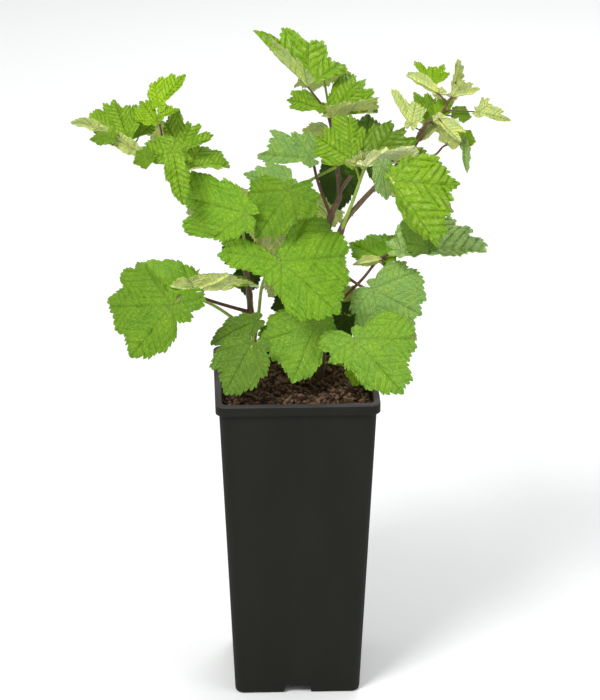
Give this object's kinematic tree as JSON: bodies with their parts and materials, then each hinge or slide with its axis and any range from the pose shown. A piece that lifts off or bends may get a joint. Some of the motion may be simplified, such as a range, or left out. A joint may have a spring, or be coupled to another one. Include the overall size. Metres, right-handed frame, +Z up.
{
  "type": "potted raspberry cane",
  "caption": "Young raspberry plant with slender leafy canes, rooted in compost in a tall square tapered rose pot.",
  "frame": {"origin": "middle of the pot's flat underside, on the floor", "axes": "+Z up along the pot, +X to the right and -Y to the front of the plant's fullest side"},
  "size_m": [0.302, 0.1602, 0.4749],
  "materials": {
    "pot": "satin",
    "soil": "matt",
    "cane": "satin",
    "leaf_green": "satin",
    "leaf_dark": "satin",
    "leaf_young": "satin",
    "leaf_pale": "matt"
  },
  "bodies": {
    "root": {"pot": "pot", "soil": "soil", "left_cane": "cane", "middle_cane": "cane", "right_cane": "cane", "middle_branch": "cane", "leaf_left_low": "leaf_green", "leaf_left_foot": "leaf_green", "leaf_left_behind": "leaf_dark", "leaf_low_behind": "leaf_dark", "leaf_left_inner": "leaf_dark", "leaf_left_high": "leaf_green", "leaf_centre_high": "leaf_green", "leaf_middle_left": "leaf_green", "leaf_middle_pair": "leaf_green", "leaf_middle_top": "leaf_green", "leaf_middle_behind": "leaf_dark", "leaf_right_upper": "leaf_green", "shoot_tip_middle": "leaf_green", "leaf_right_far": "leaf_green", "leaf_centre": "leaf_green", "leaf_centre_low": "leaf_green", "leaf_right_foot": "leaf_green", "leaf_right_low": "leaf_green", "leaf_soil_right": "leaf_young", "leaf_tip_left_top": "leaf_green", "shoot_tip_left": "leaf_green", "leaf_tip_left_right": "leaf_green", "shoot_tip_right": "leaf_young", "leaf_tip_right_low": "leaf_pale", "leaf_right_behind": "leaf_pale", "far_low_middle": "leaf_green", "far_left_inner": "leaf_green", "far_left_low": "leaf_green", "far_left_high": "leaf_green", "far_centre": "leaf_green", "far_middle_high": "leaf_green", "far_right_low": "leaf_green", "far_right_high": "leaf_green", "far_tip_middle": "leaf_green", "far_tip_left": "leaf_green", "far_tip_right": "leaf_green"}
  },
  "joints": []
}
